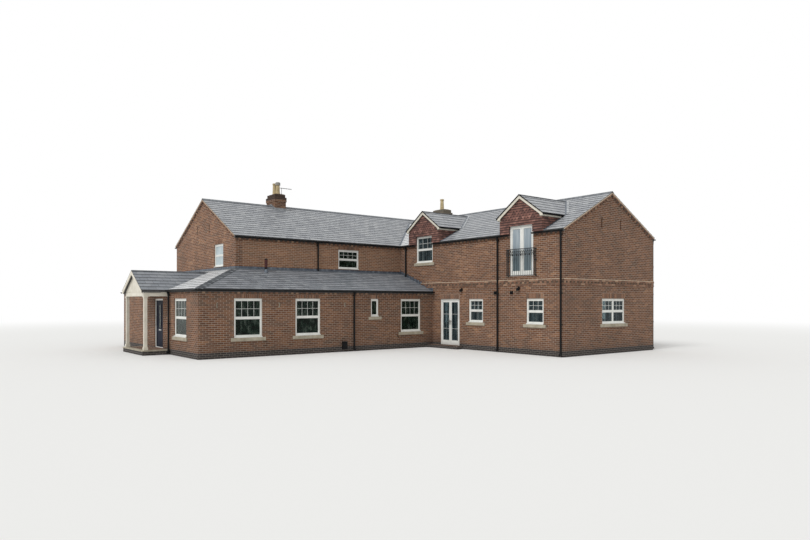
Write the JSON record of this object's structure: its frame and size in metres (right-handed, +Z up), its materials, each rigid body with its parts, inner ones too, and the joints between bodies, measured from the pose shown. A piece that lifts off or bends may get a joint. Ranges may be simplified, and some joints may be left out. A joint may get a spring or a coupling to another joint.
{
  "type": "detached house, two storeys on an L-shaped plan with a lean-to",
  "caption": "Brick house on an L plan with slate roofs, a hipped lean-to round one corner, gabled dormers, railed upper doors and hinged doors.",
  "frame": {"origin": "middle of the house's plan box, at ground level", "axes": "+X along the left wing towards the right wing, +Y towards the rear wall, +Z up"},
  "size_m": [18.705, 17.455, 8],
  "materials": {
    "concrete": "power-floated concrete",
    "boards": "plain floor boards",
    "brick": "red-brown multi brick, pale mortar",
    "band_brick": "red brick set as projecting headers",
    "plinth_brick": "blue-grey engineering brick",
    "slate": "grey slate in even courses",
    "ridge_tile": "dark grey clay ridge tile",
    "hung_tile": "plain clay tile hanging",
    "buff_clay": "buff terracotta",
    "black_pvc": "black rainwater goods",
    "sill_stone": "buff cast stone",
    "window_glass": "clear double glazing",
    "black_iron": "black painted iron",
    "navy_door": "dark blue composite door",
    "white_frame": "white foiled window profile"
  },
  "bodies": {
    "house": {"ground_floor": "concrete", "upper_floor": "boards", "left_front_wall": "brick", "left_gable_wall": "brick", "rear_wall": "brick", "right_gable_wall": "brick", "wing_right_wall": "brick", "wing_gable_wall": "brick", "wing_side_wall_near": "brick", "wing_side_wall_far": "brick", "lean_to_front_wall": "brick", "lean_to_side_wall_near": "brick", "lean_to_side_wall_far": "brick", "lean_to_rear_wall": "brick", "door_lintel_walls": "brick", "main_roof_front": "slate", "main_roof_rear": "slate", "wing_roof_left": "slate", "wing_roof_right": "slate", "lean_to_roof_front": "slate", "lean_to_roof_side": "slate", "dormer_walls": "hung_tile", "dormer_roofs": "slate", "ridge_tiles": "ridge_tile", "chimney_stacks": "brick", "chimney_pots": "buff_clay", "band_course": "band_brick", "gutters": "black_pvc", "pipes": "black_pvc", "window_sills": "sill_stone", "front_window_frames": "white_frame", "front_window_glass": "window_glass", "back_window_frames": "white_frame", "back_window_glass": "window_glass", "juliet_doors": "white_frame", "juliet_balcony": "black_iron", "french_door_frame": "white_frame", "french_doorstep": "sill_stone", "front_door_frame": "white_frame", "porch_platform": "plinth_brick", "porch_frame": "white_frame", "porch_roof": "slate"},
    "french_leaf_near": {"french_door_near": "white_frame"},
    "french_leaf_far": {"french_door_far": "white_frame"},
    "front_door_leaf": {"front_door": "navy_door"}
  },
  "joints": [
    {"name": "french_door_near_hinge", "type": "hinge", "parent": "house", "child": "french_leaf_near", "pos_m": [2.9875, -2.8995, 1.2], "axis": [0, 0, 1], "range_deg": [0, 90]},
    {"name": "french_door_far_hinge", "type": "hinge", "parent": "house", "child": "french_leaf_far", "pos_m": [2.9875, -1.7455, 1.2], "axis": [0, 0, -1], "range_deg": [0, 90]},
    {"name": "front_door_hinge", "type": "hinge", "parent": "house", "child": "front_door_leaf", "pos_m": [-8.1625, 2.8605, 1.2], "axis": [0, 0, -1], "range_deg": [0, 90]}
  ]
}
